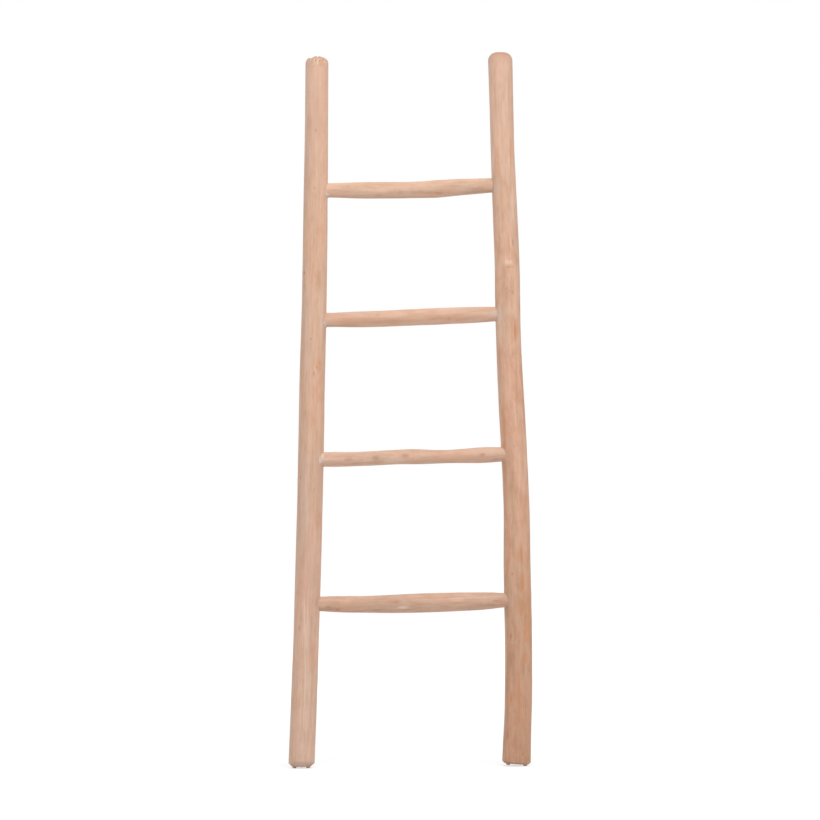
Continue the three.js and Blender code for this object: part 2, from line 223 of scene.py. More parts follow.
height = axis_of(middle, "Z")
outward = put("ShaderNodeCombineXYZ", [maths("COSINE", turn), maths("SINE", turn)])
skin = vector("ADD", middle, scaled(outward, reach))
# The flats drift round the branch as the drawknife followed the wood, and fade in and out.
drift = put("ShaderNodeTexNoise", {
    "W": maths("MULTIPLY_ADD", height, FLATS_WANDER, given["Seed"]), "Scale": 1.0, "Detail": 1.0,
}, noise_dimensions="1D")
drifted = maths("MULTIPLY_ADD", drift, FLATS_DRIFT, turn)
half_flat = maths("DIVIDE", math.pi, given["Flats"])
minus_half = maths("MULTIPLY", half_flat, -1.0)
in_flat = maths("WRAP", drifted, half_flat, minus_half)
flat_depth = maths("DIVIDE", maths("COSINE", half_flat), maths("COSINE", in_flat))
seeded = put("ShaderNodeCombineXYZ", {"Z": given["Seed"]})
skin_noise = vector("ADD", vector("MULTIPLY", skin, GRAIN_STRETCH), seeded)
fading = noise_at(skin_noise, FLATS_FADE, 0.0)
flat_share = ranged(fading, 0.4, 0.65, 0.0, given["Flatness"])
flattened = put("ShaderNodeMix", {"Factor": flat_share, "A": 1.0, "B": flat_depth})
ripple_scale = maths("DIVIDE", 1.0, given["Ripple Length"])
ripple = noise_at(skin_noise, ripple_scale, 3.0, 0.45)
ripple_height = maths("SUBTRACT", ripple, 0.5)
kept = maths("MULTIPLY_ADD", ripple_height, given["Ripple"], 1.0)
# A knot stands up as a low mound, or is a dent where its rise is less than 0.
knots = geometry_of(given["Knots"])
near_knot = put("GeometryNodeSampleNearest", {"Geometry": knots, "Sample Position": skin})
knot_place = sampled(knots, pith_place, near_knot, "FLOAT_VECTOR")
knot_gap = vector("DISTANCE", skin, knot_place).outputs["Value"]
knot_size, knot_rise = [sampled(knots, named(name), near_knot) for name in ("size", "rise")]
knot_share = maths("DIVIDE", knot_gap, knot_size)
knot_fall = maths("MULTIPLY", maths("POWER", knot_share, 2.0), -1.0)
knot_bulge = maths("MULTIPLY", maths("EXPONENT", knot_fall), knot_rise)
# Torn end grain: pits that grow deeper over the last stretch before the sawn top.
torn_to = maths("ADD", given["Torn From"], TEAR_FADES)
torn = ranged(height, given["Torn From"], torn_to)
pits = noise_at(skin_noise, PITS, 2.0)
pit_depth = ranged(pits, 0.45, 0.7, 0.0, given["Torn Depth"])
tear = maths("MULTIPLY", torn, pit_depth)
tear_inward = maths("MULTIPLY_ADD", tear, PIT_DRAWS_IN, kept)
share = maths("MULTIPLY", flattened, tear_inward)
length = maths("MULTIPLY_ADD", reach, share, knot_bulge)
# The drawknife's cut round the foot leans outwards and reaches higher at the front.
forward = maths("MULTIPLY", axis_of(outward, "Y"), -1.0, use_clamp=True)
cut_height = maths("MULTIPLY_ADD", forward, given["Cut Rise"], given["Cut Height"])
above_foot = maths("SUBTRACT", height, given["Foot Level"])
up_the_cut = maths("SUBTRACT", maths("DIVIDE", above_foot, cut_height), 1.0)
cut_length = maths("MULTIPLY_ADD", up_the_cut, given["Cut Depth"], given["Foot Radius"])
length = maths("MINIMUM", length, cut_length)
grown = vector("ADD", middle, scaled(outward, length))
sunk = put("ShaderNodeCombineXYZ", {"Z": maths("MULTIPLY", tear, -1.0)})
placed = vector("ADD", grown, sunk)
# A slanted foot rises in each millimetre towards the ladder's middle.
inner = maths("SUBTRACT", given["Slant Edge"], axis_of(placed, "X"))
slant_ends = maths("ADD", given["Slant From"], given["Slant Length"])
slanted = soft(height, given["Slant From"], slant_ends, given["Slant"], 0.0)
rise = put("ShaderNodeCombineXYZ", {"Z": maths("MULTIPLY", inner, slanted)})
raised = vector("ADD", placed, rise)
# Nothing stands further out than the CAD model does.
inside = vector("MINIMUM", vector("MAXIMUM", raised, given["Lowest"]), given["Highest"])
wrapped = put("GeometryNodeSetPosition", {"Geometry": sheet, "Position": inside})
closed = put("GeometryNodeMergeByDistance", {"Geometry": wrapped, "Distance": WELD})
for name in ("Mortises", "Nail Holes", "Cracks", "Torn Off"):
    closed = put("GeometryNodeMeshBoolean", {
        "Mesh 1": closed, "Mesh 2": geometry_of(given[name]),
    }, operation="DIFFERENCE", solver="MANIFOLD")
rounded = put("GeometryNodeSetShadeSmooth", {"Geometry": closed, "Shade Smooth": True}, domain="FACE")
edge_angle = put("GeometryNodeInputMeshEdgeAngle").outputs["Unsigned Angle"]
sharp = put("FunctionNodeCompare", {"A": edge_angle, "B": CREASE_ANGLE},
            data_type="FLOAT", operation="GREATER_THAN")
creased = put("GeometryNodeSetShadeSmooth",
              {"Geometry": rounded, "Selection": sharp, "Shade Smooth": False}, domain="EDGE")
# What the wood's material reads: the place from the pith, and the way to the nearest knot.
here = put("GeometryNodeInputPosition")
pith_near = put("GeometryNodeProximity", {"Geometry": given["Pith"], "Sample Position": here},
                target_element="EDGES").outputs["Position"]
from_pith = vector("SUBTRACT", here, vector("MULTIPLY", pith_near, (1.0, 1.0, 0.0)))
near_knot = put("GeometryNodeSampleNearest", {"Geometry": knots, "Sample Position": here})
found = {
    name: sampled(knots, named(name, kind), near_knot, kind)
    for name, kind in (("position", "FLOAT_VECTOR"), ("size", "FLOAT"), ("dark", "FLOAT"))
}
for name, value, kind in (
    ("knot_position", vector("SUBTRACT", here, found["position"]), "FLOAT_VECTOR"),
    ("knot_size", found["size"], "FLOAT"), ("knot_dark", found["dark"], "FLOAT"),
    ("grain", from_pith, "FLOAT_VECTOR"),
):
    creased = put("GeometryNodeStoreNamedAttribute",
                  {"Geometry": creased, "Name": name, "Value": value}, data_type=kind, domain="POINT")
finish_tree(creased, given["Wood"])


def link(name, mesh):
    """An object of that mesh, lamp or camera in the scene."""
    thing = bpy.data.objects.new(name, mesh)
    bpy.context.scene.collection.objects.link(thing)
    return thing


def made(name, tree, start, values, turned=Matrix()):
    """Runs a tree on a start mesh, and keeps the result as a plain mesh turned into its place."""
    maker = link("maker", start)
    modifier = maker.modifiers.new("maker", "NODES")
    modifier.node_group = tree
    for item in tree.interface.items_tree:
        if item.in_out == "INPUT" and item.name in values:
            modifier[item.identifier] = values[item.name]
    graph = bpy.context.evaluated_depsgraph_get()
    mesh = bpy.data.meshes.new_from_object(
        maker.evaluated_get(graph), preserve_all_data_layers=True, depsgraph=graph)
    mesh.name = name
    mesh.transform(turned)
    bpy.data.objects.remove(maker)
    return link(name, mesh)


def mesh_of(name, vertices, faces, edges=()):
    mesh = bpy.data.meshes.new(name)
    mesh.from_pydata(vertices, edges, faces)
    return mesh


def marked(mesh, name, values):
    """Stores a number for each of a mesh's points."""
    mesh.attributes.new(name, "FLOAT", "POINT").data.foreach_set("value", values)


def edges_of(node):
    """The two ends of every edge of a CAD node."""
    mesh = frame["nodes"][node].data
    places = np.empty(3 * len(mesh.vertices))
    mesh.vertices.foreach_get("co", places)
    pairs = np.empty(2 * len(mesh.edges), dtype=int)
    mesh.edges.foreach_get("vertices", pairs)
    return places.reshape(-1, 3)[pairs.reshape(-1, 2)].swapaxes(0, 1)


def section(edges, axis, at):
    """Middle and radius of a CAD pole where a plane across its axis cuts it."""
    first, second = edges
    before, after = first[:, axis] - at, second[:, axis] - at
    crossing = before * after < 0
    share = before[crossing] / (before[crossing] - after[crossing])
    cut = first[crossing] + share[:, None] * (second[crossing] - first[crossing])
    low, high = cut.min(0), cut.max(0)
    return [*(low + high) / 2, ((high - low).sum() / 4)]


def eased(along, sections, window):
    """Sections at even places along a pole, smoothed over a window."""
    sections = np.array(sections)
    even = np.stack([np.interp(along, sections[:, 2], column) for column in sections.T], axis=1)
    width = int(window / (along[1] - along[0])) | 1
    weight = np.hanning(width + 2)[1:-1]
    padded = np.pad(even, ((width // 2, width // 2), (0, 0)), mode="reflect", reflect_type="odd")
    return np.stack([np.convolve(c, weight / weight.sum(), mode="valid") for c in padded.T], axis=1)


def pith_of(line, start, end, bevel, crown, step):
    """The rings of a pole along its middle, from the middle of one sawn end to the other's."""
    def radius(z):
        return np.interp(z, line[:, 2], line[:, 3])

    foot_face = np.arange(0, radius(start) - bevel, FACE_STEP)
    top_face = np.arange(0, radius(end) - crown, FACE_STEP)[::-1]
    bevelling = np.linspace(0, 1, max(2, round(bevel / BEVEL_STEP)))[:-1]
    body = np.linspace(start + bevel, end - crown, round((end - start - bevel - crown) / step))
    rounding = np.linspace(0, math.pi / 2, max(3, round(crown / CROWN_STEP)))[1:]
    heights = np.concatenate([
        np.full_like(foot_face, start), start + bevel * bevelling, body,
        end - crown * (1 - np.sin(rounding)), np.full_like(top_face, end),
    ])
    insets = np.concatenate([
        radius(start) - foot_face, bevel * (1 - bevelling), np.zeros_like(body),
        crown * (1 - np.cos(rounding)), radius(end) - top_face,
    ])
    x, y = [np.interp(heights, line[:, 2], line[:, i]) for i in (0, 1)]
    edges = [(i, i + 1) for i in range(len(heights) - 1)]
    rings = mesh_of("pith", list(zip(x, y, heights)), [], edges)
    marked(rings, "reach", radius(heights) - insets)
    return rings


def knots_on(line, knots, seed, unseen):
    """Points for a pole's knots: those given as (along, degrees from the front, size, rise, dark),
    and unseen ones strewn over its back, clear of a rung's tenons."""
    random = np.random.default_rng(seed)
    spans = (line[0, 2] / MM + TENON_ROOM, line[-1, 2] / MM - TENON_ROOM), *STREWN
    rows = np.array([*knots, *[[random.uniform(*span) for span in spans] for _ in range(unseen)]])
    along, angle = rows[:, 0] * MM, np.radians(rows[:, 1])
    x, y, radius = [np.interp(along, line[:, 2], line[:, i]) for i in (0, 1, 3)]
    places = np.stack([x + radius * np.sin(angle), y - radius * np.cos(angle), along], axis=1)
    mesh = mesh_of("knots", places.tolist(), [])
    for name, column, scale in (("size", 2, MM), ("rise", 3, MM), ("dark", 4, 1.0)):
        marked(mesh, name, rows[:, column] * scale)
    return link("knots", mesh)


# Rails: what is drilled in them
# A flat-bottomed mortise for each rung, a hole from the back for the nail that holds its tenon,
# and three small holes in the foot for the glides' pins.
TENON_RADIUS = 15.25 * MM
FIT = 0.3 * MM
GLUE_SPACE = 2 * MM
MORTISE_LENGTH = 62 * MM
HOLE_SIDES = 48
NAIL_LENGTH = 35 * MM
NAIL_RADIUS = 1.4 * MM
NAIL_HEAD_RADIUS = 3 * MM
NAIL_HEAD_THICKNESS = 1.2 * MM
NAIL_POINT = 4 * MM
GLIDE_HEIGHT = 3.4 * MM
GLIDE_FLAT_RADIUS = 2 * MM
GLIDE_PIN_RADIUS = 1 * MM
GLIDE_PIN_LENGTH = 12 * MM
GLIDE_PIN_POINT = 3 * MM
PIN_HOLE_SIDES = 16
OUT_OF_THE_WOOD = 12 * MM  # how far a nail's cutter stands out at the back
BELOW_FIRST_SECTION = 12 * MM
ABOVE_LAST_SECTION = 22 * MM
SECTION_STEP = 8 * MM
JOINT_CLEARANCE = 24 * MM  # a rail isn't measured nearer to a mortise's middle than this
LINE_STEP = 4 * MM
RAIL_WINDOW = 60 * MM  # over which its line is smoothed
END_STEPS = 8  # of the line, from which its slope at an end is taken
RUNGS = ("rung_1", "rung_2", "rung_3", "rung_4")
SIDES = ("left", "right")


def turned_mesh(name, profile, sides):
    """A closed round body about +Z from (radius, height) points that run from pole to pole."""
    angles = [2 * math.pi * i / sides for i in range(sides)]
    inner = profile[1:-1]
    vertices = [(r * math.cos(a), r * math.sin(a), z) for r, z in inner for a in angles]
    vertices += [(0, 0, profile[0][1]), (0, 0, profile[-1][1])]
    first, last, top = len(vertices) - 2, len(vertices) - 1, (len(inner) - 1) * sides
    faces = []
    for i in range(sides):
        j = (i + 1) % sides
        faces.append((first, j, i))
        faces.append((last, top + i, top + j))
        for row in range(0, top, sides):
            faces.append((row + i, row + j, row + j + sides, row + i + sides))
    return mesh_of(name, vertices, faces)


def aimed(place, way):
    """Moves a body to a place, with its own +Z along a way."""
    return Matrix.Translation(place) @ Vector(way).to_track_quat("Z", "Y").to_matrix().to_4x4()


def joined(name, meshes):
    """One object of several meshes."""
    vertices, faces = [], []
    for mesh in meshes:
        faces += [[len(vertices) + i for i in p.vertices] for p in mesh.polygons]
        vertices += [v.co[:] for v in mesh.vertices]
    return link(name, mesh_of(name, vertices, faces))


def nail_place(rung, side):
    """The middle of the top of a nail's head, at the back of the rail."""
    low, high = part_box(f"nail_{rung}_{side}")
    return Vector(((low.x + high.x) / 2, high.y, (low.z + high.z) / 2))


def tenon_ends(rung):
    """The middles of a rung's two tenons at their ends, left and right."""
    low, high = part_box(rung)
    inside = TENON_RADIUS / 2
    edges = edges_of(rung)
    left = Vector(section(edges, 0, low.x + inside)[:3])
    right = Vector(section(edges, 0, high.x - inside)[:3])
    axis = (right - left).normalized()
    return left - axis * inside, right + axis * inside


nail_hole = turned_mesh("nail_hole", [
    (0, -NAIL_LENGTH - 3 * FIT), (NAIL_RADIUS + FIT, -NAIL_LENGTH + NAIL_POINT - FIT),
    (NAIL_RADIUS + FIT, -NAIL_HEAD_THICKNESS - FIT),
    (NAIL_HEAD_RADIUS + FIT, -NAIL_HEAD_THICKNESS / 2 - FIT),
    (NAIL_HEAD_RADIUS + FIT, OUT_OF_THE_WOOD), (0, OUT_OF_THE_WOOD),
], HOLE_SIDES)
mortise = turned_mesh("mortise", [
    (0, -GLUE_SPACE), (TENON_RADIUS + FIT, -GLUE_SPACE), (TENON_RADIUS + FIT, MORTISE_LENGTH),
    (0, MORTISE_LENGTH),
], HOLE_SIDES)
pin_end = GLIDE_HEIGHT + GLIDE_PIN_LENGTH
pin_hole = turned_mesh("pin_hole", [
    (0, 0), (GLIDE_PIN_RADIUS + FIT, 0), (GLIDE_PIN_RADIUS + FIT, pin_end - GLIDE_PIN_POINT),
    (0, pin_end + FIT),
], PIN_HOLE_SIDES)


def moved(mesh, matrix):
    """A copy of a mesh, moved."""
    copy = mesh.copy()
    copy.transform(matrix)
    return copy


glide_slant = {"left": 0.0, "right": math.atan(FOOT_SLANT)}


def glide_places(side):
    """Where the middle of each glide's flat is."""
    slanted = Matrix.Rotation(glide_slant[side], 3, "Y")
    places = []
    for i in (1, 2, 3):
        mesh = frame["nodes"][f"foot_glide_{side}_{i}"].data
        upright = np.array([slanted.transposed() @ v.co for v in mesh.vertices])
        low, high = upright.min(0), upright.max(0)
        places.append(slanted @ Vector(((low[0] + high[0]) / 2, (low[1] + high[1]) / 2, low[2])))
    return places


def drill_rail(side):
    """The bodies of a rail's mortises and pin holes."""
    bodies = []
    for rung in RUNGS:
        left, right = tenon_ends(rung)
        tip, way = (left, right - left) if side == "left" else (right, left - right)
        bodies.append(moved(mortise, aimed(tip, way)))
    turned = Matrix.Rotation(glide_slant[side], 4, "Y")
    bodies += [moved(pin_hole, Matrix.Translation(place) @ turned) for place in glide_places(side)]
    return joined("cutters_mortises", bodies)


joint_heights = {side: [nail_place(rung, side).z for rung in RUNGS] for side in SIDES}


def rail_line(side):
    """A rail's middle and radius all along it, measured clear of its mortises."""
    low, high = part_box(f"rail_{side}")
    bottom, top = low.z + BELOW_FIRST_SECTION, high.z - ABOVE_LAST_SECTION
    stations = [
        z for z in np.arange(bottom, top, SECTION_STEP)
        if all(abs(z - joint) > JOINT_CLEARANCE for joint in joint_heights[side])
    ]
    edges = edges_of(f"rail_{side}")
    sections = [section(edges, 2, z) for z in stations]
    line = eased(np.arange(bottom, top, LINE_STEP), sections, RAIL_WINDOW)
    first_slope = (line[0] - line[END_STEPS]) / (END_STEPS * LINE_STEP)
    last_slope = (line[-1] - line[-1 - END_STEPS]) / (END_STEPS * LINE_STEP)
    foot = line[0] + first_slope * (line[0, 2] - low.z)
    head = line[-1] + last_slope * (high.z - line[-1, 2])
    return np.vstack([foot, line, head])


# Rails: their wood
# Bare sapwood of a light branch, dried and sanded: matte, pinkish beige, with soft streaks along
# the grain, a few brown knots, brown streaks where the bark was close, and duller end grain.


def paint(code):
    """A colour as the shader takes it, from its sRGB hex code."""
    parts = [int(code[i:i + 2], 16) / 255 for i in (1, 3, 5)]
    return (*[p / 12.92 if p <= 0.04045 else ((p + 0.055) / 1.055) ** 2.4 for p in parts], 1.0)


def laid_over(colour, share, code, how="MIX"):
    """A colour with another one laid over a share of it."""
    return put("ShaderNodeMix", {"Factor": share, "A": colour, "B": paint(code)},
               data_type="RGBA", blend_type=how)


def attribute(name, output="Fac"):
    return put("ShaderNodeAttribute", attribute_name=name).outputs[output]


def length_of(what):
    return vector("LENGTH", what).outputs["Value"]


def object_place():
    return put("ShaderNodeTexCoord").outputs["Object"]


def new_material(name):
    """Begins a material's tree."""
    global tree
    material = bpy.data.materials.new(name)
    material.use_nodes = True
    tree = material.node_tree
    return material


def finish_material(colour, relief, strength, depth, rest):
    """Feeds a material's shader its colour, a relief of some depth, and the rest by name."""
    bump = put("ShaderNodeBump", {"Strength": strength, "Distance": depth, "Height": relief})
    feed(tree.nodes["Principled BSDF"], {"Base Color": colour, "Normal": bump, **rest})


def bare_wood(name, tones, cloudy, stain, stained, patches, torn_from, seed):
    """Branch wood. tones are its colours at heights in mm, cloudy is how blotched it is, stain is
    the brown over up to a share stained of it, and above torn_from its end grain is speckled. Each
    patch is a place, its reach along x, y and z in mm, a colour, and how strongly that covers."""
    material = new_material(name)
    in_mm = scaled(attribute("grain", "Vector"), 1 / MM)
    # The nearest knot, in sizes of that knot, drawn out along the grain.
    way_mm = scaled(attribute("knot_position", "Vector"), 1 / MM)
    size_mm = maths("MULTIPLY", attribute("knot_size"), 1 / MM)
    gap = length_of(vector("MULTIPLY", way_mm, (1.0, 1.0, 0.6)))
    knot = maths("DIVIDE", gap, size_mm)
    fall = maths("MULTIPLY", maths("MULTIPLY", knot, knot), -0.4)
    swirl = maths("MULTIPLY", maths("EXPONENT", fall), -0.7)
    around = vector("ADD", in_mm, scaled(way_mm, swirl))
    # The grain wanders a few millimetres over a hand's length.
    spaced = vector("ADD", around, (0.0, 0.0, 1000.0 * seed))
    slow = vector("MULTIPLY", spaced, (0.02, 0.02, 0.005))
    wander = noise_at(slow, 1.0, 2.0).outputs["Color"]
    centred = vector("SUBTRACT", wander, (0.5, 0.5, 0.5))
    lie = vector("ADD", spaced, scaled(centred, 9.0))
    # Streaks 3.5 mm wide and 8 cm long, fibres a fifth as wide, bands and clouds 1.5 cm wide, flecks
    # of 1 by 10 mm, brown streaks 6 mm wide, and crumbs of 4 to 5 mm in the end grain.
    layers = {}
    for layer, across, along, detail in (
        ("streak", 0.28, 0.012, 3.0), ("fibre", 1.4, 0.05, 2.0), ("band", 0.07, 0.006, 1.0),
        ("cloud", 0.065, 0.028, 3.0), ("fleck", 0.9, 0.1, 1.0), ("stain", 0.16, 0.007, 3.0),
        ("crumb", 0.25, 0.22, 2.0),
    ):
        drawn = vector("MULTIPLY", lie, (across, across, along))
        layers[layer] = noise_at(drawn, 1.0, detail, 0.55)

    along = axis_of(in_mm, "Z")
    low, high = tones[0][0], tones[-1][0]
    colour = put("ShaderNodeValToRGB", [ranged(along, low, high)])
    stops = colour.color_ramp.elements
    stops[0].color = paint(tones[0][1])
    stops[1].color = paint(tones[-1][1])
    for height, code in tones[1:-1]:
        stops.new((height - low) / (high - low)).color = paint(code)
    # The young wood near a rail's top is the most even.
    lively = ranged(along, 1100.0, 1400.0, 1.0, 0.6)
    for layer, low, high, most, code in (
        ("streak", 0.36, 0.68, 0.5, "#eee1d6"), ("fibre", 0.45, 0.7, 0.4, "#eadccf"),
        ("band", 0.42, 0.6, 1.0, "#f5f9fa"), ("cloud", 0.42, 0.66, cloudy, "#e8d5c8"),
        ("fleck", 0.62, 0.78, 0.4, "#dcc0ac"),
    ):
        most_here = maths("MULTIPLY", lively, most)
        share = ranged(layers[layer], low, high, 0.0, most_here)
        colour = laid_over(colour, share, code, "MULTIPLY")
    colour = laid_over(colour, soft(layers["stain"], 0.52, 0.68, 0.0, stained), stain)
    where = object_place()
    for place, reach, code, strength in patches:
        from_there = vector("SUBTRACT", where, place)
        measured = vector("MULTIPLY", from_there, [1 / (length * MM) for length in reach])
        ragged = maths("MULTIPLY_ADD", layers["streak"], 1.4, length_of(measured))
        colour = laid_over(colour, soft(ragged, 1.1, 1.9, strength, 0.0), code)
    dark = attribute("knot_dark")
    colour = laid_over(colour, soft(knot, 0.1, 1.2, dark, 0.0), "#94644a")
    # End grain drinks the light: where the surface faces along the branch.
    normal = put("ShaderNodeNewGeometry").outputs["Normal"]
    upright = maths("ABSOLUTE", axis_of(normal, "Z"))
    if torn_from is not None:
        end_share = ranged(upright, 0.1, 0.85, 0.0, 0.9)
        colour = laid_over(colour, end_share, "#dfd4cc", "MULTIPLY")
        height = axis_of(where, "Z")
        near_top = ranged(height, torn_from - 3 * MM, torn_from + 10 * MM)
        for low, high, most, code in ((0.52, 0.6, 0.42, "#a07a62"), (0.43, 0.36, 0.35, "#f0e0d4")):
            crumbed = ranged(layers["crumb"], low, high, 0.0, most)
            colour = laid_over(colour, maths("MULTIPLY", crumbed, near_top), code)
    relief = maths("ADD", layers["fibre"], layers["streak"])
    finish_material(colour, relief, 0.4, 0.18 * MM, {
        "Roughness": ranged(layers["streak"], 0.3, 0.7, 0.7, 0.82), "IOR": 1.5,
        "Specular IOR Level": 0.4, "Sheen Weight": 0.08, "Sheen Roughness": 0.5,
    })
    return material


# Rails: both made
# The left one has a torn, chipped and checked top. The right one is thicker, browner towards its
# foot, and sawn off at a slant there. Dried glue greys the wood beside the joints.
LEFT_RAIL_KNOTS = [  # along, degrees from the front, size, rise, how dark
    (1217, -5, 2.2, 0.2, 0.35), (1339, -1, 3.0, 0.1, 0.3), (901, -10, 2.2, 0, 0.4),
    (1040, -57, 2.6, 0, 0.8), (1013, -57, 2.4, 0, 0.5), (611, -50, 3.0, 0.1, 0.35),
    (296, -32, 3.0, 0.1, 0.28), (838, 20, 4.5, 0.3, 0.25), (828, 8, 3.0, 0.2, 0.3),
    # The last one, at 1488 mm, is no knot: a small dent with painted shade, for the dark hole where the
    # top's crack opens at the front.
    (1488, 3, 1.8, -0.3, 0.9),
]
RIGHT_RAIL_KNOTS = [
    (994, 21, 2.6, 0.1, 0.35), (1002, -8, 2.2, 0.1, 0.3), (672, 2, 2.2, 0.1, 0.3),
    (404, -23, 3.0, 0.2, 0.35), (527, -30, 3.4, 0.1, 0.18), (273, -36, 3.2, 0.1, 0.4),
    (142, -35, 4.0, 0.2, 0.25), (64, -44, 4.0, 0.1, 0.25), (26, 25, 3.0, 0, 0.25),
]
BROWN = "#b98a66"
ORANGE = "#c9895c"
SMOKE = "#a79384"
PALE = "#e8cdb9"
GLUE_GREY = "#cfbbaf"
LEFT_PATCHES = [  # along, degrees from the front, reach across and along, colour, strength
    (305, -7, 2.6, 50, PALE, 0.55), (215, 1, 2.4, 60, PALE, 0.4), (115, 8, 5, 65, PALE, 0.22),
    (215, 12, 9, 150, PALE, 0.2), (237, 26, 6, 45, ORANGE, 0.25), (965, 38, 7, 85, PALE, 0.35),
    (1425, 46, 9, 70, BROWN, 0.14), (1290, -25, 4, 45, PALE, 0.12),
    (560, -20, 14, 120, GLUE_GREY, 0.25), (940, -28, 12, 200, GLUE_GREY, 0.2),
    (1023, 22, 8, 28, BROWN, 0.3), (1120, 15, 4, 22, ORANGE, 0.25), (842, 30, 8, 16, ORANGE, 0.35),
    (836, 18, 4, 7, PALE, 0.6), (521, 45, 12, 22, BROWN, 0.3), (1356, -40, 8, 20, BROWN, 0.2),
    # The pale grey patch at 9.5 mm is painted light on the left foot's downward-facing bevel, lifting its
    # shade.
    (9.5, 0, 60, 4.5, "#d9c2b3", 0.85), (1480, 28, 9, 10, ORANGE, 0.25),
    # The three grey tints at -92 to -98 degrees are painted cool side light along the rail's left edge.
    (1483, 3, 1.4, 9, "#f4e6dc", 0.45), (750, -98, 17, 1000, "#d6c4b8", 0.35),
    (1420, -96, 17, 300, "#dccfc6", 0.4), (100, -92, 14, 110, "#c3a999", 0.35),
]
RIGHT_PATCHES = [
    (706, -44, 5, 75, ORANGE, 0.5), (622, -55, 8, 50, BROWN, 0.5), (914, 31, 3, 24, ORANGE, 0.8),
    (800, 72, 8, 130, ORANGE, 0.5), (443, 19, 3, 26, ORANGE, 0.85), (386, 21, 5, 30, ORANGE, 0.75),
    (335, 18, 3, 20, ORANGE, 0.8), (335, 60, 9, 70, ORANGE, 0.4), (285, 36, 9, 30, ORANGE, 0.5),
    (228, 30, 7, 14, ORANGE, 0.6), (273, -36, 2.5, 12, ORANGE, 0.8), (235, -66, 6, 22, ORANGE, 0.6),
    (150, 0, 2.2, 95, ORANGE, 0.8), (120, 30, 2, 70, BROWN, 0.5), (142, -35, 5, 16, ORANGE, 0.6),
    (100, 46, 2, 50, ORANGE, 0.5), (190, -20, 1.6, 60, BROWN, 0.35), (90, 14, 1.6, 60, BROWN, 0.4),
    (1099, 30, 3, 12, SMOKE, 0.7), (1058, 8, 12, 5, PALE, 0.5), (1048, 12, 12, 2.5, BROWN, 0.35),
    (1218, -40, 11, 20, GLUE_GREY, 0.35), (948, -48, 9, 22, GLUE_GREY, 0.7),
    (350, -34, 8, 18, GLUE_GREY, 0.2), (1492, 0, 60, 20, "#c79f86", 0.4),
    (1310, 50, 6, 85, "#c89f85", 0.4), (1370, 8, 4, 35, PALE, 0.35), (1265, -65, 7, 50, PALE, 0.4),
    (1180, 40, 6, 40, PALE, 0.3), (1075, -46, 5, 30, BROWN, 0.2), (920, -52, 9, 60, PALE, 0.3),
    (905, 38, 5, 20, BROWN, 0.25), (235, -74, 10, 80, "#dfb597", 0.6), (26, 25, 4, 9, ORANGE, 0.5),
    # The pale patch at 5.4 mm is painted light on the right foot's downward-facing bevel, lifting its
    # shade.
    (5.4, 0, 60, 2.6, "#d6b5a2", 0.8), (1430, 60, 14, 90, BROWN, 0.15),
    (1400, 37, 1.8, 60, BROWN, 0.4), (1270, 38, 1.8, 70, BROWN, 0.4),
    # The grey tints at -95 and -82 degrees are painted cool side light along the rail's left edge.
    (1350, -95, 15, 300, "#d6c4b8", 0.25), (650, -95, 15, 500, "#d6c4b8", 0.25),
    (110, -82, 9, 90, "#dcc4b4", 0.35),
]
CRACKS = (  # across, back, half its length, depth, width, degrees
    (1.8, 0, 28, 11, 3.2, -1), (-14, -8, 10, 7, 1.6, 52), (11, -6, 9, 4, 0.9, -28),
)
UNCUT = 1.0  # a foot radius that is never reached
CRACK_STEPS = 14
ABOVE_THE_TOP = 1.5  # mm that a crack's cutter stands out
CHIPPED = (  # the outline of the left top: across the rail's middle, and how much is gone there
    (-40, 4.0), (-16, 3.7), (-12, 4.6), (-9.5, 3.2), (-4, 0.1), (4.5, 0.1), (9.5, 1.8), (14, 3.1),
    (18, 5.3), (21, 7.7), (23, 8.8), (40, 16.0),
)
TEAR_STEPS = 56
TEAR_HALF = 32 * MM
COARSE_TEAR = 3.2 * MM
FINE_TEAR = 1.4 * MM
TEAR_SWAY = 11 * MM
ABOVE_THE_TEAR = 6 * MM


def cracks(line, top):
    """Drying cracks in the left rail's top, that close downwards and outwards."""
    x, y = line[-1, 0], line[-1, 1]
    random = np.random.default_rng(7)
    bodies = []
    for across, back, half_length, depth, width, degrees in CRACKS:
        steps = np.linspace(-1, 1, CRACK_STEPS)
        sway = np.convolve(random.uniform(-0.5, 0.5, CRACK_STEPS + 2), [0.3, 0.4, 0.3], mode="valid")
        vertices = []
        for share, swing in zip(steps, sway):
            half = width / 2 * (1 - 0.35 * share * share)
            along = half_length * share
            vertices += [(swing - half, along, ABOVE_THE_TOP), (swing + half, along, ABOVE_THE_TOP),
                         (swing + 0.3, along, -depth * (1 - 0.5 * share * share))]
        faces = [(0, 2, 1), (len(vertices) - 3, len(vertices) - 2, len(vertices) - 1)]
        for i in range(0, len(vertices) - 3, 3):
            faces += [(i + a, i + b, i + b + 3, i + a + 3) for a, b in ((0, 1), (1, 2), (2, 0))]
        crack = mesh_of("crack", [Vector(v) * MM for v in vertices], faces)
        middle = Matrix.Translation((x + across * MM, y + back * MM, top))
        crack.transform(middle @ Matrix.Rotation(math.radians(degrees), 4, "Z"))
        bodies.append(crack)
    return joined("cutters_cracks", bodies)


